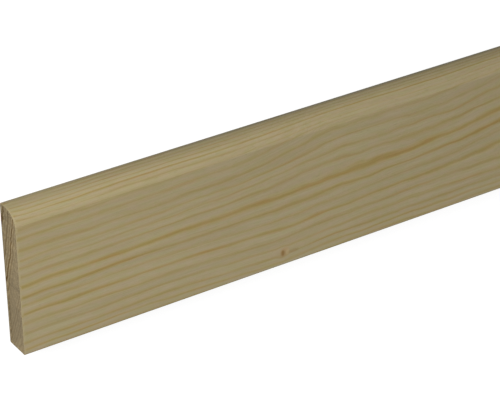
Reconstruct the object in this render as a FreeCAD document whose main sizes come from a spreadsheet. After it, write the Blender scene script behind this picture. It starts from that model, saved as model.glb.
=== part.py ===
import FreeCAD, Part

import math
import os

import Sketcher

# Skirting board length: one stick of planed softwood, moulded along its top edge.
#
# The board is stored lying on its back. X runs along its length, Y across its face
# from the floor edge (low) to the moulded edge (high), and Z up from the back face
# to the show face. The origin is the centre of the back face. Lengths are in
# millimetres, angles in degrees.

# Driving sizes: alias, value, and what it measures on the board.
BOARD_SIZES = [
    ("board_length", 2400.0, "stock length, sawn square at both ends"),
    ("face_height", 68.0, "floor edge to top edge, as it stands against a wall"),
    ("board_thickness", 13.0, "back face to show face"),
    ("nose_radius", 8.0, "rounding from the top edge over to the show face"),
    ("crease_angle", 15.0, "turn left between the rounding and the flat show face"),
    ("arris_radius", 0.5, "eased long corners, left by the planer"),
]

# Two positions closer than this are the same corner of the section.
SAME_PLACE = 1e-4


def make_size_sheet(doc):
    """One row for each driving size: what it measures, its value, its alias."""
    sheet = doc.addObject("Spreadsheet::Sheet", "Sizes")
    for row, (alias, value, meaning) in enumerate(BOARD_SIZES, start=1):
        sheet.set(f"A{row}", meaning)
        sheet.set(f"B{row}", str(value))
        sheet.setAlias(f"B{row}", alias)
    doc.recompute()
    return sheet


def origin_plane(body, role):
    """The body's own origin plane with that role."""
    for feature in body.Origin.OriginFeatures:
        if feature.Role == role:
            return feature
    raise RuntimeError(f"{body.Label} has no plane {role}")


def draw_section(body, sheet):
    """The moulder's profile, in the plane square to the length.

    In the sketch the first axis is the board's Y and the second its Z. The profile
    goes along the back, up the flat of the top edge, over the nose, down the show
    face and in along the floor edge. The nose is a single arc. It leaves the top
    edge tangent to it, and meets the show face in a shallow crease.
    """
    half_face = sheet.face_height / 2
    crease_angle = math.radians(sheet.crease_angle)
    flat_top = sheet.board_thickness - sheet.nose_radius * math.cos(crease_angle)
    nose_centre = FreeCAD.Vector(half_face - sheet.nose_radius, flat_top, 0)
    quarter_turn = math.pi / 2

    back_low = FreeCAD.Vector(-half_face, 0, 0)
    back_top = FreeCAD.Vector(half_face, 0, 0)
    nose_start = FreeCAD.Vector(half_face, flat_top, 0)
    nose_circle = Part.Circle(nose_centre, FreeCAD.Vector(0, 0, 1), sheet.nose_radius)
    nose_arc = Part.ArcOfCircle(nose_circle, 0, quarter_turn - crease_angle)
    crease = nose_arc.EndPoint
    face_low = FreeCAD.Vector(-half_face, sheet.board_thickness, 0)

    sketch = body.newObject("Sketcher::SketchObject", "section")
    sketch.AttachmentSupport = (origin_plane(body, "YZ_Plane"), [""])
    sketch.MapMode = "FlatFace"
    back = sketch.addGeometry(Part.LineSegment(back_low, back_top))
    top = sketch.addGeometry(Part.LineSegment(back_top, nose_start))
    nose = sketch.addGeometry(nose_arc)
    face = sketch.addGeometry(Part.LineSegment(crease, face_low))
    foot = sketch.addGeometry(Part.LineSegment(face_low, back_low))

    # Point numbers of a sketch edge, and the sketch's own origin point.
    start, end, centre = 1, 2, 3
    origin_axis, origin_point = -1, 1

    def join(*edges_and_points):
        sketch.addConstraint(Sketcher.Constraint("Coincident", *edges_and_points))

    join(back, end, top, start)
    join(nose, end, face, start)
    join(face, end, foot, start)
    join(foot, end, back, start)
    sketch.addConstraint(Sketcher.Constraint("Tangent", top, end, nose, start))
    sketch.addConstraint(Sketcher.Constraint("Horizontal", back))
    sketch.addConstraint(Sketcher.Constraint("Horizontal", face))
    sketch.addConstraint(Sketcher.Constraint("Vertical", top))
    sketch.addConstraint(Sketcher.Constraint("Vertical", foot))
    sketch.addConstraint(
        Sketcher.Constraint("Symmetric", back, start, back, end, origin_axis, origin_point)
    )

    def measure(name, expression, *constraint):
        number = sketch.addConstraint(Sketcher.Constraint(*constraint))
        sketch.renameConstraint(number, name)
        sketch.setExpression(f"Constraints.{name}", expression)

    measure(
        "across_face", "Sizes.face_height",
        "DistanceX", back, start, back, end, sheet.face_height,
    )
    measure(
        "through_board", "Sizes.board_thickness",
        "DistanceY", back, start, face, end, sheet.board_thickness,
    )
    measure("round_nose", "Sizes.nose_radius", "Radius", nose, sheet.nose_radius)
    measure(
        "crease_offset", "Sizes.nose_radius * sin(Sizes.crease_angle)",
        "DistanceX", nose, centre, nose, end, sheet.nose_radius * math.sin(crease_angle),
    )
    return sketch


def mould_length(body, section):
    """The section run the whole length of the board, half to each side of the origin."""
    length = body.newObject("PartDesign::Pad", "moulded_length")
    length.Profile = section
    length.SideType = "Symmetric"
    length.setExpression("Length", "Sizes.board_length")
    return length


def long_corner_edges(shape, sheet):
    """Names of the square corners that run along the board: all but the nose's two."""
    half_face = sheet.face_height / 2
    corners = [(-half_face, 0.0), (half_face, 0.0), (-half_face, sheet.board_thickness)]
    names = []
    for number, edge in enumerate(shape.Edges, start=1):
        first, last = edge.Vertexes[0].Point, edge.Vertexes[-1].Point
        if math.hypot(first.y - last.y, first.z - last.z) > SAME_PLACE:
            continue
        if any(math.hypot(first.y - y, first.z - z) < SAME_PLACE for y, z in corners):
            names.append(f"Edge{number}")
    if len(names) != len(corners):
        raise RuntimeError(f"found {len(names)} long corners, not {len(corners)}")
    return names


def ease_corners(body, length, sheet):
    """The long corners are broken by a small round, so that they neither splinter nor cut."""
    arris = body.newObject("PartDesign::Fillet", "eased_arris")
    arris.Base = (length, long_corner_edges(length.Shape, sheet))
    arris.setExpression("Radius", "Sizes.arris_radius")
    return arris


def make_board(doc, sheet):
    board = doc.addObject("PartDesign::Body", "skirting_board")
    board.Label = "skirting_board"
    section = draw_section(board, sheet)
    length = mould_length(board, section)
    doc.recompute()
    ease_corners(board, length, sheet)
    board.Placement = FreeCAD.Placement()
    doc.recompute()
    if not section.FullyConstrained:
        raise RuntimeError("the section is not fully constrained")
    return board


def check_document(doc, bodies):
    for item in doc.Objects:
        if "Invalid" in item.State or "Error" in item.State:
            raise RuntimeError(f"{item.Label} failed: {item.State}")
    for body in bodies:
        if body.Shape.isNull() or not body.Shape.isValid():
            raise RuntimeError(f"{body.Label} has no valid shape")


def main():
    doc = FreeCAD.newDocument("skirting_board_length")
    sheet = make_size_sheet(doc)
    bodies = [make_board(doc, sheet)]
    check_document(doc, bodies)

    os.makedirs("parts", exist_ok=True)
    for body in bodies:
        body.Shape.exportStep(f"parts/{body.Label}.step")
        box = body.Shape.BoundBox
        print(
            f"{body.Label}: {box.XLength:.1f} x {box.YLength:.2f} x {box.ZLength:.2f} mm,"
            f" {len(body.Shape.Solids)} solid, {body.Shape.Volume / 1000:.1f} cm3"
        )


main()
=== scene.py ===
import math

import bmesh
import bpy
from mathutils import Matrix, Vector, noise


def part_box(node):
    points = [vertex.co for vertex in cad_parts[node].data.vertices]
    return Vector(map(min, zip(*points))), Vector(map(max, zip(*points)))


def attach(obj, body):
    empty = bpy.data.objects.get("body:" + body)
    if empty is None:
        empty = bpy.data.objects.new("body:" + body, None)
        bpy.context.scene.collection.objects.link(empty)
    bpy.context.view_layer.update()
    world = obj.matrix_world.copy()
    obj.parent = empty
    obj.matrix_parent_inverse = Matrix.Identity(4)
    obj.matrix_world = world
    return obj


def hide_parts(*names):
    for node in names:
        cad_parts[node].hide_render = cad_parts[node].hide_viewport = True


# %% [markdown]
# # A length of softwood skirting, finished
#
# The construction is ready: one solid, 2.4 m long, lying on its back. Its section is flat on
# the back and on the floor edge, and the top edge rolls over a nose to the show face. This
# lesson gives that solid the surface of bare planed pine, sawn square at both ends.
#
# Everything is in metres in the board's own frame. X runs along the board, Y across its face
# towards the rounded edge, and Z out of the show face.

# %% Load the fixed frame and read the board's size from it
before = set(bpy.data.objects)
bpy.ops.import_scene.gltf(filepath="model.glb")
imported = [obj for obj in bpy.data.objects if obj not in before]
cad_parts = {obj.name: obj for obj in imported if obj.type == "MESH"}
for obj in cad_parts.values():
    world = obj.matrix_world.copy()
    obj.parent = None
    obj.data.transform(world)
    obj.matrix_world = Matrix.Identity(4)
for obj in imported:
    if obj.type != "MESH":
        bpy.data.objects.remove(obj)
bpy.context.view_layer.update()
NODE = "skirting_board"
low_corner, high_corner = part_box(NODE)
LENGTH, HEIGHT, THICKNESS = high_corner - low_corner
NEAR_END, FAR_END = low_corner.x, high_corner.x
FLOOR_EDGE, TOP_EDGE = low_corner.y, high_corner.y
BACK, SHOW_FACE = low_corner.z, high_corner.z
MM = 0.001
print(f"board: {LENGTH:.3f} x {HEIGHT:.4f} x {THICKNESS:.4f} m")

# %% [markdown]
# ## The moulded section
#
# A moulder runs the stick past shaped knives, so one section holds along the whole length.
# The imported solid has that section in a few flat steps. A finer one is drawn here from a
# single point. Spinning it round the nose's centre leaves the arc behind it, and extruding
# it from corner to corner draws the flats. The same sizes as in the solid are used, so the
# two agree.

# %% Draw the section as an open chain of points, then close it
NOSE_RADIUS = 8 * MM
CREASE_ANGLE = math.radians(15)
ARRIS_RADIUS = 0.5 * MM
NOSE_STEPS = 30
ARRIS_STEPS = 4

nose_sweep = math.pi / 2 - CREASE_ANGLE
nose_y = TOP_EDGE - NOSE_RADIUS
nose_z = SHOW_FACE - NOSE_RADIUS * math.sin(nose_sweep)
ALONG = Vector((1, 0, 0))


def draw_to(bm, point, place):
    """The chain grows by one straight edge, from its last point to a new one."""
    grown = bmesh.ops.extrude_vert_indiv(bm, verts=[point])["verts"][0]
    grown.co = place
    return grown


def draw_section(bm):
    start = bmesh.ops.create_vert(bm, co=(NEAR_END, TOP_EDGE, nose_z))["vert"][0]
    swept = bmesh.ops.spin(
        bm, geom=[start], cent=(NEAR_END, nose_y, nose_z), axis=ALONG,
        angle=nose_sweep, steps=NOSE_STEPS,
    )
    crease = next(item for item in swept["geom_last"] if isinstance(item, bmesh.types.BMVert))
    face_low = draw_to(bm, crease, (NEAR_END, FLOOR_EDGE, SHOW_FACE))
    back_low = draw_to(bm, face_low, (NEAR_END, FLOOR_EDGE, BACK))
    back_top = draw_to(bm, back_low, (NEAR_END, TOP_EDGE, BACK))
    bmesh.ops.contextual_create(bm, geom=[back_top, start])
    return crease.co.copy()


bm = bmesh.new()
crease_place = draw_section(bm)
print(f"section: {len(bm.verts)} points, crease {(TOP_EDGE - crease_place.y) / MM:.2f} mm down")

# %% [markdown]
# ## Easing the corners, and room for the sawn ends
#
# The planer leaves the three long square corners slightly broken. Bevelling the corner points
# of the section does that once for the whole length. The straight runs are then cut into
# short edges, because the saw tears the wood where the section ends, and a torn edge needs
# points to move.

# %% Round the square corners and divide the flats
FLAT_PITCH = 0.7 * MM
square_corners = [
    point for point in bm.verts
    if (point.co.yz - crease_place.yz).length > NOSE_RADIUS / 4
    and min(abs(point.co.z - BACK), abs(point.co.y - FLOOR_EDGE)) < 1e-6
]
bmesh.ops.bevel(
    bm, geom=square_corners, offset=ARRIS_RADIUS, segments=ARRIS_STEPS, profile=0.5,
    affect="VERTICES", material=-1,
)
for edge in list(bm.edges):
    cuts = round(edge.calc_length() / FLAT_PITCH) - 1
    if cuts > 0:
        bmesh.ops.subdivide_edges(bm, edges=[edge], cuts=cuts)
print(f"section: {len(bm.verts)} points, {len(square_corners)} corners eased")

# %% [markdown]
# ## From a section to a stick
#
# Filling the chain and pulling it along X makes the whole stick. Planes then cut it across,
# close together at both ends, where the saw has torn the wood, and wide apart in between,
# where the section never changes.

# %% Extrude the section and cut it across
MIDDLE_SPANS = 40
END_STATIONS = [1.0 * MM, 1.8 * MM, 3.2 * MM, 6.0 * MM, 12.0 * MM, 25.0 * MM]

bmesh.ops.contextual_create(bm, geom=list(bm.edges))
pulled = bmesh.ops.extrude_face_region(bm, geom=list(bm.faces))
bmesh.ops.translate(
    bm, vec=ALONG * LENGTH,
    verts=[item for item in pulled["geom"] if isinstance(item, bmesh.types.BMVert)],
)
bmesh.ops.recalc_face_normals(bm, faces=list(bm.faces))

stations = [NEAR_END + step for step in END_STATIONS]
stations += [NEAR_END + LENGTH * span / MIDDLE_SPANS for span in range(1, MIDDLE_SPANS)]
stations += [FAR_END - step for step in END_STATIONS]
for station in sorted(set(stations)):
    bmesh.ops.bisect_plane(
        bm, geom=[*bm.verts, *bm.edges, *bm.faces], plane_co=ALONG * station, plane_no=ALONG,
    )
print(f"stick: {len(bm.faces)} faces, {sum(not edge.is_manifold for edge in bm.edges)} open edges")

# %% [markdown]
# ## The sawn ends
#
# A saw leaves no clean edge in bare pine. It breaks the fibres along the rim of the cut, so
# the rim is worn back unevenly, by up to half a millimetre. Two narrow rings are inset in
# each end for that, and smooth noise along the rim says how far each point is pushed back.
# The rest of the end keeps its place, so the board keeps its full length. Beside the nose
# and the show face, where the teeth leave the wood, the torn strip shows side grain rather
# than end grain, so it takes the planed finish.

# %% Inset two rings and wear the rim back
RIM_WIDTHS = (0.33 * MM, 0.40 * MM)
RIM_DEPTH = 0.60 * MM
RIM_LEAST = 0.06 * MM
INNER_SHARE = 0.3
RIM_WAVES = (0.11 / MM, 0.6 / MM)


def wear(place, seed):
    """How worn the rim is at a point of it, from 0 to 1: long waves with short ones on them."""
    slow, quick = (
        noise.noise(Vector((seed, place.y * pitch, place.z * pitch))) for pitch in RIM_WAVES
    )
    return min(max(0.42 + 1.1 * slow + 0.7 * quick, 0.0), 1.0)


def on_show_side(place):
    """True beside the nose and the show face, false beside the back and the two edges."""
    return place.z > nose_z and place.y > FLOOR_EDGE + RIM_WIDTHS[0]


def wear_end(bm, end, inwards, seed):
    cap = next(face for face in bm.faces if abs(face.calc_center_median().x - end) < 1e-6)
    cap.material_index = 1
    rings = [list(cap.verts)]
    for width in RIM_WIDTHS:
        rim = bmesh.ops.inset_region(bm, faces=[cap], thickness=width, use_even_offset=True)
        for face in rim["faces"]:
            outer = len(rings) == 1
            face.material_index = 0 if outer and on_show_side(face.calc_center_median()) else 1
        rings.append(list(cap.verts))
    for ring, share in ((rings[0], 1.0), (rings[1], INNER_SHARE)):
        for point in ring:
            worn = wear(point.co, seed)
            depth = RIM_LEAST + RIM_DEPTH * worn if share == 1.0 else RIM_DEPTH * share * worn**2
            point.co.x += inwards * depth
    return cap


near_cap = wear_end(bm, NEAR_END, inwards=1, seed=3.0)
far_cap = wear_end(bm, FAR_END, inwards=-1, seed=17.0)
print(f"ends: {len(near_cap.verts)} points round each sawn face")

# %% [markdown]
# ## Soft and sharp edges
#
# The nose is one smooth sweep, so its flats are shaded as one. Two things stay sharp: the
# rims of the sawn ends, and the crease where the nose meets the show face, which turns by
# only a few degrees and would be smoothed away by a rule on angles alone. The saw cut itself
# is dead flat, so its faces are shaded flat. Smooth ones would take the worn rim's slope in
# and carry it right across the end.

# %% Mark the sharp edges and make the piece
SHARP_ANGLE = math.radians(30)
SAME_PLACE = 1e-6


def on_crease(edge):
    return all((point.co.yz - crease_place.yz).length < 1e-5 for point in edge.verts)


def in_saw_cut(face):
    return all(abs(abs(point.co.x) - FAR_END) < SAME_PLACE for point in face.verts)


bmesh.ops.triangulate(bm, faces=[near_cap, far_cap])
for face in bm.faces:
    face.smooth = not in_saw_cut(face)
for edge in bm.edges:
    turn = edge.calc_face_angle(0.0)
    edge.smooth = turn < SHARP_ANGLE and not on_crease(edge)
print(f"sawn faces: {sum(not face.smooth for face in bm.faces)} flat triangles")

board_mesh = bpy.data.meshes.new("moulded_board")
bm.to_mesh(board_mesh)
bm.free()
board = bpy.data.objects.new("moulded_board", board_mesh)
bpy.context.scene.collection.objects.link(board)
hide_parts(NODE)
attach(board, "root")
print(f"moulded_board: {len(board_mesh.polygons)} faces")

# %% [markdown]
# ## How the grain is described
#
# A tree lays down one ring a year: pale early wood first, then a thin band of dark late
# wood. A board is a flat cut through those rings, so the lines on its face, its nose, its end
# and its back are all the same rings, met at different angles. Painting each side by itself
# never quite agrees at the corners. Here the rings are computed in space instead, as circles
# round the pith, a line that runs along the tree outside the board. Every surface then shows
# the cut that it makes.
#
# All grain sizes are in millimetres, and the distance along the board counts from the near
# end.

# %% Short names for a node tree's sums
class Bench:
    """Adds nodes to one tree, so that a formula reads in the order that it is worked out."""

    def __init__(self, tree):
        self.tree = tree

    def node(self, kind, **settings):
        made = self.tree.nodes.new(kind)
        for name, value in settings.items():
            setattr(made, name, value)
        return made

    def feed(self, socket, value):
        if isinstance(value, bpy.types.NodeSocket):
            self.tree.links.new(value, socket)
        else:
            socket.default_value = value

    def math(self, operation, *values):
        made = self.node("ShaderNodeMath", operation=operation)
        for socket, value in zip(made.inputs, values):
            self.feed(socket, value)
        return made.outputs[0]

    def total(self, first, *others):
        for other in others:
            first = self.math("ADD", first, other)
        return first

    def product(self, first, *others):
        for other in others:
            first = self.math("MULTIPLY", first, other)
        return first

    def step(self, value, start, end, low=0.0, high=1.0):
        """A smooth step: low up to start, high from end on."""
        made = self.node("ShaderNodeMapRange", interpolation_type="SMOOTHSTEP")
        for name, part in (("Value", value), ("From Min", start), ("From Max", end),
                           ("To Min", low), ("To Max", high)):
            self.feed(made.inputs[name], part)
        return made.outputs["Result"]

    def hump(self, value, start, top, end, height=1.0):
        """A smooth rise to a top and down again."""
        return self.product(self.step(value, start, top, 0, height), self.step(value, top, end, 1, 0))

    def place(self, across, up, out):
        made = self.node("ShaderNodeCombineXYZ")
        for socket, value in zip(made.inputs, (across, up, out)):
            self.feed(socket, value)
        return made.outputs[0]

    def noise(self, place, pitch, detail=2.0, roughness=0.5):
        """Noise from 0 to 1, about 0.5, with a feature size of about one pitch unit."""
        scaled = self.node("ShaderNodeVectorMath", operation="MULTIPLY")
        self.feed(scaled.inputs[0], place)
        scaled.inputs[1].default_value = [1 / size for size in pitch]
        made = self.node("ShaderNodeTexNoise", noise_dimensions="3D")
        self.feed(made.inputs["Vector"], scaled.outputs[0])
        made.inputs["Scale"].default_value = 1.0
        made.inputs["Detail"].default_value = detail
        made.inputs["Roughness"].default_value = roughness
        return made.outputs["Fac"]

    def mix(self, share, first, second, blend="MIX"):
        made = self.node("ShaderNodeMix", data_type="RGBA", blend_type=blend)
        for socket, value in ((made.inputs[0], share), (made.inputs[6], first),
                              (made.inputs[7], second)):
            self.feed(socket, value)
        return made.outputs[2]

    def curve(self, value, points, value_span, result_span):
        """A line through (value, result) points, straight from each to the next."""
        shrunk = self.node("ShaderNodeMapRange")
        for name, part in (("Value", value), ("From Min", value_span[0]),
                           ("From Max", value_span[1])):
            self.feed(shrunk.inputs[name], part)
        made = self.node("ShaderNodeFloatCurve")
        self.feed(made.inputs["Value"], shrunk.outputs["Result"])
        line = made.mapping.curves[0]
        places = [
            ((place - value_span[0]) / (value_span[1] - value_span[0]),
             (result - result_span[0]) / (result_span[1] - result_span[0]))
            for place, result in points
        ]
        for number, place in enumerate(places):
            if number < len(line.points):
                line.points[number].location = place
            else:
                line.points.new(*place)
        for point in line.points:
            point.handle_type = "VECTOR"
        made.mapping.update()
        grown = self.node("ShaderNodeMapRange")
        self.feed(grown.inputs["Value"], made.outputs["Value"])
        grown.inputs["To Min"].default_value = result_span[0]
        grown.inputs["To Max"].default_value = result_span[1]
        return grown.outputs["Result"]


def rgb(red, green, blue):
    """A colour as an eyedropper reads it, 0 to 255, turned into the shader's linear values."""
    return tuple(
        part / 12.92 if part <= 0.04045 else ((part + 0.055) / 1.055) ** 2.4
        for part in (red / 255, green / 255, blue / 255)
    ) + (1.0,)


# %% [markdown]
# ## Where the rings lie
#
# The end of the board tells where the pith was: the rings stand almost parallel to the face
# at the top and lean over further down, so the pith lay behind the board and a little above
# it. From there each dark line on the show face gives one ring's radius. The lines on the
# nose give the next ones inwards, and behind them the rings go on at an even width.
#
# A line isn't the same all along. For a few centimetres one thickens and reddens, where the
# late wood is rich in resin, and another thins out. Each such change is a smooth hump.

# %% Ring radii, from the lines on the show face and on the nose
PITH_HEIGHT, PITH_DEPTH = 65.0, -170.0
FACE_AT, BACK_AT = 13.0, 0.0
TOP_AT, FLOOR_AT = 34.0, -34.0
# Height of each dark line on the show face at the near end, and how dark it is.
FACE_LINES = [
    (26.8, 0.60), (22.2, 0.56), (16.8, 0.70), (12.3, 0.68), (8.8, 0.54), (4.9, 0.66),
    (-0.2, 1.15), (-5.3, 0.87), (-9.4, 0.63), (-13.9, 0.88), (-18.4, 0.62), (-23.2, 0.56),
    (-27.8, 0.68), (-31.0, 0.77), (-33.8, 0.60),
]
# Degrees round the nose from the top edge for each line there, and how dark it is.
NOSE_LINES = [(14, 0.50), (29, 0.48), (44, 0.75), (60, 0.50)]
INNER_WIDTH, INNER_DARKNESS = 2.3, 0.55


def pith_distance(height, depth):
    return math.hypot(height - PITH_HEIGHT, depth - PITH_DEPTH)


def face_distance(height):
    return pith_distance(height, FACE_AT)


def nose_distance(degrees):
    turn = math.radians(degrees)
    return pith_distance(
        (nose_y + NOSE_RADIUS * math.cos(turn)) / MM, (nose_z + NOSE_RADIUS * math.sin(turn)) / MM
    )


# Where one line thickens and reddens, or, below zero, thins out: the line's radius, and where
# along it that starts, peaks and ends.
LINE_CHANGES = [
    (face_distance(-0.2), (44, 90, 138), 0.5), (face_distance(-0.2), (160, 186, 216), 0.35),
    (face_distance(-5.3), (18, 47, 74), 0.5), (face_distance(-13.9), (15, 46, 75), 0.35),
    (face_distance(-31.0), (-60, 100, 2400), -0.35), (face_distance(-18.4), (95, 128, 165), -0.8),
    (face_distance(-9.4), (-60, 100, 2400), -0.5), (face_distance(8.8), (68, 98, 125), -0.6),
    (face_distance(12.3), (120, 175, 2400), -0.7), (face_distance(16.8), (18, 42, 64), -0.8),
    (face_distance(16.8), (70, 98, 118), -0.5), (face_distance(16.8), (120, 185, 2400), -1.0),
    (face_distance(-5.3), (85, 112, 140), -0.6), (face_distance(-27.8), (118, 136, 152), -0.7),
    (face_distance(26.8), (22, 52, 2400), -0.9), (pith_distance(TOP_AT, 4.9), (-60, 12, 42), -1.6),
    (nose_distance(44), (-60, 0, 2), 0.3), (nose_distance(44), (0.3, 3, 32), -0.9),
    (nose_distance(44), (34, 56, 86), 0.7), (nose_distance(60), (2, 14, 90), -0.6),
    (nose_distance(60), (90, 185, 2400), -1.6), (nose_distance(29), (-60, 0, 4), -0.7),
    (nose_distance(44), (150, 190, 240), 0.5), (face_distance(22.2), (120, 180, 2400), -1.8),
    (pith_distance(28.5, 2.0), (-60, 0, 4), 1.6),
]


rings = [(face_distance(height), dark) for height, dark in FACE_LINES]
rings += [(nose_distance(degrees), dark) for degrees, dark in NOSE_LINES]
innermost = pith_distance(TOP_AT, BACK_AT)
while min(rings)[0] > innermost - 3 * INNER_WIDTH:
    rings.append((min(rings)[0] - INNER_WIDTH, INNER_DARKNESS))
rings.sort()
outermost = face_distance(FLOOR_AT)
while rings[-1][0] < outermost + 3 * INNER_WIDTH:
    rings.append((rings[-1][0] + INNER_WIDTH, INNER_DARKNESS))
ring_span = (rings[0][0], rings[-1][0])
ring_count = len(rings) - 1


def ring_number(radius):
    return min(range(len(rings)), key=lambda number: abs(rings[number][0] - radius))


print(f"{ring_count} rings, {ring_span[0]:.0f} to {ring_span[1]:.0f} mm from the pith")

# %% [markdown]
# ## How the grain wanders
#
# A tree isn't straight, so the lines on the face climb and dip along the board. The first
# quarter metre climbs twice: once towards the nose, about 130 mm in, and again further on,
# in the middle of the face, with a shallow dip between them in the lower half, beside a pin
# knot. Each is one smooth step along the board, with an amount that depends on the height.
# Small swells lift or sink a single line by up to a millimetre, and ripples of noise make
# the rest uneven. The inner rings, which the nose and the sawn end cut, drift in and out of
# their own accord. Beyond, slow noise carries the grain on in the same way.

# %% A node group for the rings, the wandering grain and the knot
KNOT_ALONG, KNOT_HEIGHT = 131.0, -28.0
KNOT_LEAN = (PITH_HEIGHT - KNOT_HEIGHT) / (FACE_AT - PITH_DEPTH)
KNOT_CORE, KNOT_REACH, KNOT_PUSH = 1.3, 5.0, 0.55
# The knot as the plane cut it: along and up from its heart, half length, half height.
KNOT_PARTS = {
    "Knot heart": (0.0, 0.1, 1.05, 2.0),
    "Knot shade": (0.1, 0.0, 2.1, 2.5),
    "Knot glow": (1.0, 0.8, 3.4, 3.1),
    "Knot light": (2.5, 0.1, 1.3, 1.7),
    "Knot tail": (5.6, -0.3, 4.2, 1.3),
}
# Where the lines swell up or sink: start, top and end along, the same in height, how far in mm.
GRAIN_SWELLS = [
    ((110, 165, 230), (-4, 2, 8), -1.2), ((130, 155, 200), (-42, -31, -22), 1.1),
    ((20, 50, 85), (-9, -5, -1), 0.6), ((75, 120, 160), (-9, -5, -1), 1.1),
    ((30, 90, 145), (-24, -19, -15), -0.9), ((105, 128, 150), (-26, -21, -17), -0.6),
    ((60, 115, 160), (9, 14, 19), 0.8), ((130, 180, 225), (16, 21, 25), 0.9),
    ((40, 65, 92), (13, 17, 20), -0.8), ((30, 75, 105), (2, 5, 8), 0.6),
    ((150, 172, 195), (8, 11, 15), -0.7), ((118, 137, 155), (17, 21, 25), 0.7),
    ((112, 140, 163), (6, 9.5, 13), 0.8), ((18, 45, 72), (-34, -31, -27), 0.6),
    ((112, 130, 146), (-27, -23.5, -20), -0.6), ((25, 60, 95), (-15.5, -13, -10.5), -0.5),
    ((30, 52, 75), (-20, -17.8, -15), -0.5), ((-30, 20, 52), (14.5, 17, 19.5), 0.5),
]
# The inner rings drift towards the back and out again: start, top and end along, how far in
# mm, and the radii between which that stops.
INNER_SHIFTS = [((-60, 0, 8), 0.5), ((20, 58, 165), 0.5), ((165, 200, 2400), -0.35)]
SHIFT_STOPS = (184.3, 186.5)
# On the sawn end itself the rings bow out a little more at this height.
END_BOW, BOW_HEIGHT = 0.4, (11, 20, 27)


def group_socket(group, name, kind, direction):
    group.interface.new_socket(name=name, in_out=direction, socket_type=kind)


def swing(bench, noise, amount):
    """Noise from 0 to 1 turned into a swing to both sides of nothing."""
    return bench.product(bench.math("SUBTRACT", noise, 0.5), amount)


def climb_of_grain(bench, along, height, place):
    """How far the lines have climbed, in mm, at a point of the board."""
    first = bench.product(
        bench.step(along, 98, 167), bench.step(height, -23, 80, 0, 18.5)
    )
    second = bench.product(
        bench.step(along, 200, 320), bench.step(height, -20, -3, 0, 9.2)
    )
    dip = bench.product(
        bench.step(along, 60, 130), bench.step(along, 130, 212, 1, 0),
        bench.step(height, -9, 6, -2.6, 0),
    )
    early = bench.total(bench.step(along, 19, 113, 0, 1.4), bench.step(along, 0, 16, -0.5, 0))
    further = bench.product(
        swing(bench, bench.noise(place, (190, 70, 70), detail=1), 1.0),
        bench.step(along, 240, 520, 0, 26),
    )
    ripple = swing(bench, bench.noise(place, (24, 9, 9), detail=1), 1.1)
    short_ripple = bench.product(
        swing(bench, bench.noise(place, (13, 6, 6), detail=1), 1.0),
        bench.step(along, 115, 170, 0, 1.5),
    )
    climb = bench.total(first, second, dip, early, further, ripple, short_ripple)
    # Each swell is added as soon as it is made, so that few values are held at a time.
    for stretch, band, amount in GRAIN_SWELLS:
        swell = bench.product(bench.hump(along, *stretch), bench.hump(height, *band, amount))
        climb = bench.total(climb, swell)
    return climb


def knot_mask(bench, knot_x, knot_y, part):
    """One oval patch of the knot, 1 at its middle and 0 outside."""
    along, up, half_length, half_height = part
    x = bench.math("DIVIDE", bench.math("SUBTRACT", knot_x, along), half_length)
    y = bench.math("DIVIDE", bench.math("SUBTRACT", knot_y, up), half_height)
    gap = bench.math("SQRT", bench.total(bench.product(x, x), bench.product(y, y)))
    return bench.step(gap, 0.35, 1.0, 1, 0)


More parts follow.
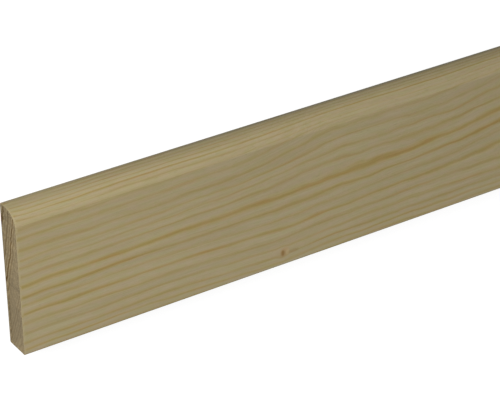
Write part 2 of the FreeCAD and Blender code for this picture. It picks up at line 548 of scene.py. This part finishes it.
def make_ring_group():
    group = bpy.data.node_groups.new("growth_rings", "ShaderNodeTree")
    group_socket(group, "Place", "NodeSocketVector", "INPUT")
    names = ["Line", "Stain", "Warmth", "Ring tone", "Fibre", "Streak", "Hue", "Dash",
             "Radius", "Along", "Height", "Depth", *KNOT_PARTS]
    for name in names:
        group_socket(group, name, "NodeSocketFloat", "OUTPUT")
    bench = Bench(group)
    entry = bench.node("NodeGroupInput")
    in_mm = bench.node("ShaderNodeVectorMath", operation="MULTIPLY_ADD")
    bench.feed(in_mm.inputs[0], entry.outputs["Place"])
    in_mm.inputs[1].default_value = (1 / MM, 1 / MM, 1 / MM)
    in_mm.inputs[2].default_value = (-NEAR_END / MM, 0, 0)
    place = in_mm.outputs[0]
    apart = bench.node("ShaderNodeSeparateXYZ")
    bench.feed(apart.inputs[0], place)
    along, height, depth = apart.outputs

    knot_height = bench.math(
        "MULTIPLY_ADD", bench.math("SUBTRACT", FACE_AT, depth), KNOT_LEAN, KNOT_HEIGHT
    )
    knot_x = bench.math("SUBTRACT", along, KNOT_ALONG)
    knot_y = bench.math("SUBTRACT", height, knot_height)
    knot_gap = bench.math(
        "SQRT", bench.total(bench.product(knot_x, knot_x), bench.product(knot_y, knot_y))
    )
    pull = bench.step(knot_gap, KNOT_CORE, KNOT_REACH, KNOT_PUSH, 0)

    climb = climb_of_grain(bench, along, height, place)
    ring_height = bench.math(
        "SUBTRACT", bench.math("SUBTRACT", height, climb), bench.product(knot_y, pull)
    )
    up_from_pith = bench.math("SUBTRACT", ring_height, PITH_HEIGHT)
    out_from_pith = bench.math("SUBTRACT", depth, PITH_DEPTH)
    even_radius = bench.math("SQRT", bench.total(
        bench.product(up_from_pith, up_from_pith), bench.product(out_from_pith, out_from_pith)
    ))
    wobble = swing(bench, bench.noise(place, (16, 5, 5), detail=2), 0.5)
    end_bow = bench.product(
        bench.hump(along, -60, 0, 8, END_BOW), bench.hump(height, *BOW_HEIGHT)
    )
    shift = bench.product(
        bench.total(end_bow, *[bench.hump(along, *stretch, far) for stretch, far in INNER_SHIFTS]),
        bench.step(even_radius, *SHIFT_STOPS, 1, 0),
    )
    radius = bench.total(even_radius, wobble, shift)

    numbered = [(place, number) for number, (place, _) in enumerate(rings)]
    ring = bench.curve(radius, numbered, ring_span, (0, ring_count))
    nearest = bench.math("ROUND", ring)
    darkness = bench.curve(
        nearest, [(number, dark) for number, (_, dark) in enumerate(rings)],
        (0, ring_count), (0, 1),
    )
    offset = bench.math("SUBTRACT", ring, nearest)

    def line_noise(pitch, seed):
        """Noise along one line, with no tie to the lines beside it."""
        spot = bench.place(along, bench.product(nearest, 7.3), seed)
        return bench.noise(spot, (pitch, 1, 1), detail=1)

    change = None
    for changed, stretch, amount in LINE_CHANGES:
        here = bench.math("COMPARE", nearest, ring_number(changed), 0.5)
        part = bench.product(bench.hump(along, *stretch, amount), here)
        change = part if change is None else bench.total(change, part)
    strength = bench.product(
        darkness, bench.step(line_noise(40, 2), 0.3, 0.7, 0.75, 1.2),
        bench.math("MULTIPLY_ADD", change, 0.4, 1),
    )
    line_start = bench.math("MINIMUM", -0.1, bench.math(
        "MULTIPLY_ADD", change, -0.15, bench.step(line_noise(18, 11), 0.3, 0.7, -0.36, -0.16)
    ))
    line = bench.product(
        bench.step(offset, line_start, -0.01), bench.step(offset, 0.01, 0.16, 1, 0), strength
    )
    stain = bench.product(
        bench.step(offset, -0.5, -0.05), bench.step(offset, 0.02, 0.40, 1, 0), strength
    )
    grain = bench.place(along, ring_height, depth)
    ring_place = bench.place(bench.product(along, 0.004), bench.product(ring, 0.9), 0.0)

    leave = bench.node("NodeGroupOutput")
    results = {
        "Line": line,
        "Stain": stain,
        "Warmth": bench.math("MAXIMUM", 0, bench.product(
            line, bench.total(bench.step(line_noise(28, 5), 0.48, 0.64), change)
        )),
        "Ring tone": bench.noise(ring_place, (1, 1, 1), detail=0),
        "Fibre": bench.noise(grain, (36, 0.35, 0.35), detail=3, roughness=0.68),
        "Streak": bench.noise(grain, (38, 1.3, 1.3), detail=2, roughness=0.6),
        "Hue": bench.noise(grain, (6, 2.0, 2.0), detail=2, roughness=0.8),
        "Dash": bench.step(bench.noise(grain, (3.6, 0.26, 0.26), detail=1), 0.64, 0.74),
        "Radius": radius,
        "Along": along,
        "Height": height,
        "Depth": depth,
    }
    for name, part in KNOT_PARTS.items():
        results[name] = knot_mask(bench, knot_x, knot_y, part)
    for name, value in results.items():
        bench.feed(leave.inputs[name], value)
    return group


ring_group = make_ring_group()
print(f"growth_rings: {len(ring_group.nodes)} nodes")

# %% [markdown]
# ## Planed pine
#
# Fresh planed pine is pale straw, with yellow-brown late wood that takes more from the blue
# than from the red. The late wood is denser, so it shines a little more. Fine fibres and
# broader streaks run along the grain, and faint greens and pinks play over it. The corners
# carry painted shade, grey and dark. The strip beside a sawn end is torn and pale, with a
# painted highlight where its edge catches the light, and the knot is laid on in coats,
# from a faint glow to its dark heart.
#
# The relief is a plain noise of its own. A bump works out whatever feeds it three times
# over, and the rings are too long a sum for that.

# %% The planed surface
INNER_WOOD, INNER_RADIUS = rgb(147.6, 135.6, 103.7), 181.0
OUTER_WOOD, OUTER_RADIUS = rgb(150.5, 138.4, 107.4), 206.0
# What the late wood lets through of the early wood's red, green and blue.
STAIN_KEEPS = (0.986, 0.917, 0.68, 1.0)
LINE_KEEPS = (0.865, 0.835, 0.69, 1.0)
WARM_KEEPS = (1.02, 0.92, 0.86, 1.0)
GREEN_HUE, PINK_HUE = (0.974, 0.999, 0.95, 1.0), (1.026, 1.001, 1.05, 1.0)
STRAW_STREAK, PALE_STREAK = (0.982, 0.962, 0.94, 1.0), (1.016, 1.036, 1.06, 1.0)
KNOT_HEART = rgb(126, 99, 58)
KNOT_GLOW = rgb(157, 129, 90)
KNOT_LIGHT = rgb(162, 144, 106)
# Each part's colour and how fully it covers the wood, from the bottom coat to the top one.
KNOT_COATS = [("Knot glow", KNOT_GLOW, 0.6), ("Knot light", KNOT_LIGHT, 0.8),
              ("Knot tail", KNOT_HEART, 0.32), ("Knot shade", KNOT_HEART, 0.42),
              ("Knot heart", KNOT_HEART, 0.9)]
# Paler torn fibres beside a sawn end, with a painted highlight where the edge catches the light.
TORN_FIBRE_HIGHLIGHT = rgb(156, 143, 109.5)
TORN_HIGHLIGHT_REACH = 1.2
# Painted shade along the corners, grey and dark: the height and depth of each, where that
# starts and stops to fade, and how much of it there is at the near end and further on.
CORNER_SHADE = rgb(67, 72, 73)
CORNER_SHADE_RUN = 160
SHADED_CORNERS = [
    (TOP_AT, BACK_AT, (0.9, 3.2), 0.20, 0.42), (TOP_AT, BACK_AT, (1.0, 7.0), 0.0, 0.13),
    (FLOOR_AT, FACE_AT, (0.2, 0.9), 0.09, 0.15), (FLOOR_AT, BACK_AT, (0.2, 1.2), 0.12, 0.12),
]
PINE_SHINE = 0.15


def start_material(name):
    material = bpy.data.materials.new(name)
    material.use_nodes = True
    material.node_tree.nodes.clear()
    bench = Bench(material.node_tree)
    principled = bench.node("ShaderNodeBsdfPrincipled")
    output = bench.node("ShaderNodeOutputMaterial")
    bench.feed(output.inputs["Surface"], principled.outputs[0])
    place = bench.node("ShaderNodeTexCoord").outputs["Object"]
    return material, bench, principled, place


def add_rings(bench, place):
    made = bench.node("ShaderNodeGroup", node_tree=ring_group)
    bench.feed(made.inputs["Place"], place)
    return made.outputs


def scale_colour(bench, colour, tone):
    scaled = bench.node("ShaderNodeVectorMath", operation="SCALE")
    bench.feed(scaled.inputs[0], colour)
    bench.feed(scaled.inputs["Scale"], tone)
    return scaled.outputs[0]


def torn_highlight_mask(bench, place, along):
    """The torn strip beside a sawn end and its painted highlight, ragged, 1 at the end and 0 inside.
    """
    from_far_end = bench.math("SUBTRACT", LENGTH / MM, along)
    gap = bench.math("MINIMUM", along, from_far_end)
    ragged = bench.noise(place, (1.6 * MM, 2.0 * MM, 2.0 * MM), detail=2)
    reach = bench.step(ragged, 0.35, 0.65, 0.1, TORN_HIGHLIGHT_REACH)
    return bench.step(gap, bench.product(reach, 0.5), bench.product(reach, 1.2), 0.65, 0)


def paint_corner_shade(bench, ring, wood):
    """The wood's colour with painted shade over the corners."""
    for height, depth, fade, at_first, later in SHADED_CORNERS:
        up = bench.math("SUBTRACT", ring["Height"], height)
        out = bench.math("SUBTRACT", ring["Depth"], depth)
        gap = bench.math("SQRT", bench.total(bench.product(up, up), bench.product(out, out)))
        most = bench.step(ring["Along"], 0, CORNER_SHADE_RUN, at_first, later)
        wood = bench.mix(bench.step(gap, *fade, most, 0), wood, CORNER_SHADE)
    return wood


def make_planed_pine():
    material, bench, principled, place = start_material("planed_pine")
    ring = add_rings(bench, place)
    cloud = bench.noise(place, (160 * MM, 25 * MM, 25 * MM), detail=2)

    outwards = bench.step(ring["Radius"], INNER_RADIUS, OUTER_RADIUS)
    wood = bench.mix(outwards, INNER_WOOD, OUTER_WOOD)
    for share, keeps in (("Stain", STAIN_KEEPS), ("Line", LINE_KEEPS), ("Warmth", WARM_KEEPS)):
        wood = bench.mix(ring[share], wood, keeps, "MULTIPLY")
    for name, span, first, second in (("Hue", (0.38, 0.62), GREEN_HUE, PINK_HUE),
                                      ("Streak", (0.3, 0.7), STRAW_STREAK, PALE_STREAK)):
        hue = bench.mix(bench.step(ring[name], *span), first, second)
        wood = bench.mix(1.0, wood, hue, "MULTIPLY")
    tone = bench.product(
        bench.step(ring["Ring tone"], 0.3, 0.7, 0.975, 1.02),
        bench.step(ring["Fibre"], 0.25, 0.75, 0.947, 1.053),
        bench.step(ring["Dash"], 0, 1, 1, 0.89),
        bench.step(cloud, 0.3, 0.7, 0.98, 1.02),
        # Lighter near the near end and darker further on: painted light falloff along the board.
        bench.step(ring["Along"], 0, 300, 1.01, 0.99),
    )
    pale_edge = bench.product(
        bench.hump(ring["Radius"], 174.5, 178, 180.5, 0.05), bench.step(ring["Along"], 20, 90, 1, 0)
    )
    greyer = bench.total(
        bench.hump(ring["Along"], 35, 95, 165, 0.03), bench.product(ring["Line"], 0.11)
    )
    dull_nose = bench.product(greyer, bench.step(ring["Radius"], 185, 188, 1, 0))
    tone = bench.product(tone, bench.math("SUBTRACT", bench.total(1, pale_edge), dull_nose))
    wood = paint_corner_shade(bench, ring, scale_colour(bench, wood, tone))
    wood = bench.mix(torn_highlight_mask(bench, place, ring["Along"]), wood, TORN_FIBRE_HIGHLIGHT)
    for part, colour, cover in KNOT_COATS:
        wood = bench.mix(bench.product(ring[part], cover), wood, colour)
    bench.feed(principled.inputs["Base Color"], wood)

    rough = bench.math("MULTIPLY_ADD", ring["Line"], -0.12, 0.76)
    bench.feed(principled.inputs["Roughness"], rough)
    principled.inputs["Specular IOR Level"].default_value = PINE_SHINE

    fibres = bench.noise(place, (30 * MM, 0.4 * MM, 0.4 * MM), detail=3, roughness=0.6)
    relief = bench.product(fibres, 0.04)
    bump = bench.node("ShaderNodeBump")
    bump.inputs["Distance"].default_value = MM
    bump.inputs["Strength"].default_value = 1.0
    bench.feed(bump.inputs["Height"], relief)
    bench.feed(principled.inputs["Normal"], bump.outputs[0])
    return material


planed_pine = make_planed_pine()
print(f"planed_pine: {len(planed_pine.node_tree.nodes)} nodes")

# %% [markdown]
# ## The sawn end
#
# End grain shows open pores, which drink light, so it is darker and browner than the face
# although it is the same wood. The rings cross it as steep lines, plain near the pith and
# faint towards the bark, and the saw leaves fine scratches. Painted shade darkens it towards
# the back and through the middle of its height. Beside the nose and the show face torn fibres
# lie over it as a pale, ragged fringe, with a painted highlight on it.

# %% The sawn surface
END_EARLY, OUTER_EARLY = rgb(140.3, 125.4, 95.2), rgb(133, 119.3, 91.8)
END_LATE = rgb(91, 70.5, 38)
# The dark bands are broad and plain near the pith and faint towards the bark.
PLAIN_RADIUS, FAINT_RADIUS = 184.5, 188.0
PLAIN_SHARE, FAINT_SHARE = 1.2, 0.36
# The fringe of torn fibres on the end, with a painted highlight along the lit edge: how far it
# reaches and how fully it covers.
FRINGE_HIGHLIGHT_REACH, FRINGE_HIGHLIGHT_COVER = (0.4, 1.3), 0.4


def fringe_highlight_mask(bench, place, ring):
    """The fringe of torn fibres with a painted highlight beside the nose and the show face, 1 at the
    rim, 0 inside.
    """
    up = bench.math("SUBTRACT", ring["Height"], nose_y / MM)
    out = bench.math("SUBTRACT", ring["Depth"], nose_z / MM)
    sides = [bench.math("MAXIMUM", side, 0) for side in (up, out)]
    spread = bench.math("SQRT", bench.total(*[bench.product(side, side) for side in sides]))
    gap = bench.math("SUBTRACT", NOSE_RADIUS / MM, spread)
    ragged = bench.noise(place, (1 * MM, 2.2 * MM, 2.2 * MM), detail=2)
    return bench.step(gap, 0.1, bench.step(ragged, 0.35, 0.65, *FRINGE_HIGHLIGHT_REACH), 1, 0)


def make_sawn_end():
    material, bench, principled, place = start_material("sawn_end")
    ring = add_rings(bench, place)
    pores = bench.noise(place, (0.5 * MM, 0.5 * MM, 0.5 * MM), detail=3, roughness=0.65)
    blotch = bench.noise(place, (2 * MM, 2.2 * MM, 1.5 * MM), detail=2, roughness=0.6)
    scratch = bench.noise(place, (1 * MM, 14 * MM, 0.35 * MM), detail=2)
    outwards = bench.step(ring["Radius"], PLAIN_RADIUS, FAINT_RADIUS)
    late = bench.product(
        bench.math("MAXIMUM", ring["Stain"], ring["Line"]),
        bench.math("MULTIPLY_ADD", outwards, FAINT_SHARE - PLAIN_SHARE, PLAIN_SHARE),
    )
    wood = bench.mix(late, bench.mix(outwards, END_EARLY, OUTER_EARLY), END_LATE)
    tone = bench.product(
        bench.step(pores, 0.25, 0.75, 0.82, 1.16), bench.step(scratch, 0.3, 0.7, 0.92, 1.07),
        bench.step(blotch, 0.3, 0.7, 0.92, 1.08),
        # Darker towards the back: painted shade on the flat saw cut.
        bench.step(ring["Depth"], 0, 9, 0.93, 1), bench.step(ring["Depth"], 0.2, 1.5, 0.88, 1),
        bench.step(ring["Radius"], 177.5, 184.5, 0.85, 1),
        bench.step(ring["Radius"], 180.5, 182.5, 1, bench.step(ring["Height"], 21, 28, 1, 1.1)),
        # Darker through the middle of the height: painted shade on the flat saw cut.
        bench.math("MULTIPLY_ADD", bench.hump(ring["Height"], -14, 7, 24), -0.075, 1.03),
    )
    fringe_highlight = bench.product(fringe_highlight_mask(bench, place, ring), FRINGE_HIGHLIGHT_COVER)
    wood = bench.mix(fringe_highlight, scale_colour(bench, wood, tone), TORN_FIBRE_HIGHLIGHT)
    bench.feed(principled.inputs["Base Color"], wood)
    principled.inputs["Roughness"].default_value = 0.85
    principled.inputs["Specular IOR Level"].default_value = 0.2
    relief = bench.total(bench.product(pores, 0.12), bench.product(scratch, 0.08))
    bump = bench.node("ShaderNodeBump")
    bump.inputs["Distance"].default_value = MM
    bump.inputs["Strength"].default_value = 1.0
    bench.feed(bump.inputs["Height"], relief)
    bench.feed(principled.inputs["Normal"], bump.outputs[0])
    return material


sawn_end = make_sawn_end()
board_mesh.materials.append(planed_pine)
board_mesh.materials.append(sawn_end)
print(f"sawn_end: {len(sawn_end.node_tree.nodes)} nodes")

# %% [markdown]
# ## Floor
#
# The board lies on a pale floor that photographs as plain white. Rays from the camera, from
# gloss and through glass see a floor that glows most of the way to white on top of a darker
# paint, so it reaches white in the light and keeps a soft trace of the board's shadow. All
# other rays meet plain paint that doesn't glow, so the floor adds no light of its own to the
# board.

# %% The pale floor
FLOOR_SIZE = 40.0
FLOOR_DROP = 0.1 * MM
FLOOR_GLOW = 0.84
FLOOR_SEEN, FLOOR_PAINT = (0.25, 0.25, 0.25, 1.0), (0.2, 0.2, 0.2, 1.0)


def seen_directly(bench):
    """1 for rays from the camera, from gloss and through glass, 0 for the light's own rays."""
    rays = bench.node("ShaderNodeLightPath").outputs
    return bench.math("MAXIMUM", rays["Is Camera Ray"], bench.math(
        "MAXIMUM", rays["Is Glossy Ray"], rays["Is Transmission Ray"]))


def make_floor():
    bm = bmesh.new()
    bmesh.ops.create_grid(bm, x_segments=1, y_segments=1, size=FLOOR_SIZE / 2)
    bmesh.ops.translate(bm, vec=(0, 0, BACK - FLOOR_DROP), verts=bm.verts)
    mesh = bpy.data.meshes.new("floor")
    bm.to_mesh(mesh)
    bm.free()
    floor = bpy.data.objects.new("floor", mesh)
    bpy.context.scene.collection.objects.link(floor)

    material = bpy.data.materials.new("pale_floor")
    material.use_nodes = True
    material.node_tree.nodes.clear()
    bench = Bench(material.node_tree)
    seen = seen_directly(bench)
    paint = bench.node("ShaderNodeBsdfDiffuse")
    bench.feed(paint.inputs["Color"], bench.mix(seen, FLOOR_PAINT, FLOOR_SEEN))
    glow = bench.node("ShaderNodeEmission")
    bench.feed(glow.inputs["Strength"], bench.product(seen, FLOOR_GLOW))
    both = bench.node("ShaderNodeAddShader")
    bench.feed(both.inputs[0], paint.outputs[0])
    bench.feed(both.inputs[1], glow.outputs[0])
    output = bench.node("ShaderNodeOutputMaterial")
    bench.feed(output.inputs["Surface"], both.outputs[0])
    mesh.materials.append(material)
    return floor


floor = make_floor()
print(f"floor: {FLOOR_SIZE:.0f} m square")

# %% [markdown]
# ## Light
#
# A large soft lamp stands over each end, beyond it and on the rounded edge's side. It lights
# the nose most, then the show face, then the sawn end, and that difference is what makes the
# section readable. A long lamp between the two keeps the middle of the board as bright as its
# ends, and its narrow beam stays clear of them. An even white world fills the rest. Seen
# directly, the world is plain white, so the floor's far edge never shows.

# %% Three soft lamps and an even sky
WORLD_LEVEL, WORLD_SEEN = 0.60, 1.0
LAMP_DISTANCE, LAMP_SIZE, LAMP_LEVEL = 0.9, 0.45, 1.13
LAMP_LEAN = Vector((0.65, 0.60, 0.467))
MIDDLE_LEAN = Vector((0.0, 0.72, 0.69))
MIDDLE_LENGTH, MIDDLE_BEAM, MIDDLE_LEVEL = 1.4, math.radians(40), 0.13


def make_world():
    world = bpy.data.worlds.new("even_sky")
    world.use_nodes = True
    world.node_tree.nodes.clear()
    bench = Bench(world.node_tree)
    sky = bench.node("ShaderNodeBackground")
    sky.inputs["Color"].default_value = (1, 1, 1, 1)
    level = bench.math("MULTIPLY_ADD", seen_directly(bench), WORLD_SEEN - WORLD_LEVEL, WORLD_LEVEL)
    bench.feed(sky.inputs["Strength"], level)
    output = bench.node("ShaderNodeOutputWorld")
    bench.feed(output.inputs["Surface"], sky.outputs[0])
    return world


def add_lamp(name, aim, lean, length, width, level):
    data = bpy.data.lights.new(name, "AREA")
    data.shape = "ELLIPSE" if length == width else "RECTANGLE"
    data.size, data.size_y = length, width
    data.energy = level * math.pi ** 2 * LAMP_DISTANCE ** 2
    lamp = bpy.data.objects.new(name, data)
    lamp.location = aim + lean.normalized() * LAMP_DISTANCE
    lamp.rotation_euler = lean.to_track_quat("Z", "Y").to_euler()
    bpy.context.scene.collection.objects.link(lamp)
    return data


bpy.context.scene.world = make_world()
for name, end, side in (("near_lamp", NEAR_END, -1), ("far_lamp", FAR_END, 1)):
    lean = Vector((side * LAMP_LEAN.x, LAMP_LEAN.y, LAMP_LEAN.z))
    add_lamp(name, ALONG * end, lean, LAMP_SIZE, LAMP_SIZE, LAMP_LEVEL)
middle_lamp = add_lamp(
    "middle_lamp", Vector((0, 0, 0)), MIDDLE_LEAN, MIDDLE_LENGTH, LAMP_SIZE, MIDDLE_LEVEL
)
middle_lamp.spread = MIDDLE_BEAM
print(f"lamps: {[round(lamp.energy) for lamp in bpy.data.lights]} W at {LAMP_DISTANCE} m")

# %% [markdown]
# ## Camera
#
# A long lens looks down on the near end from the rounded edge's side, rolled so that the
# board's height runs up the picture. The view is set by three directions of the board as
# they appear in the picture, and by where the near bottom corner of the show face falls.

# %% The photograph's viewing angle
CAMERA_PLACE = Vector((-1.55730, 0.49479, 0.74725))
PICTURE_RIGHT = Vector((0.83707, -0.0144, 0.5469))
PICTURE_UP = Vector((0.27836, 0.87179, -0.4031))
LENS, SENSOR = 165.0, 36.0

camera_data = bpy.data.cameras.new("camera")
camera_data.lens = LENS
camera_data.sensor_width = SENSOR
camera_data.clip_start, camera_data.clip_end = 0.05, 50.0
camera = bpy.data.objects.new("camera", camera_data)
right = PICTURE_RIGHT.normalized()
backward = right.cross(PICTURE_UP).normalized()
upward = backward.cross(right)
turned = Matrix((right, upward, backward)).transposed().to_4x4()
camera.matrix_world = Matrix.Translation(CAMERA_PLACE) @ turned
bpy.context.scene.collection.objects.link(camera)
bpy.context.scene.camera = camera
bpy.context.scene.view_settings.view_transform = "Standard"
print(f"camera: {LENS} mm lens at {tuple(round(part, 3) for part in CAMERA_PLACE)}")
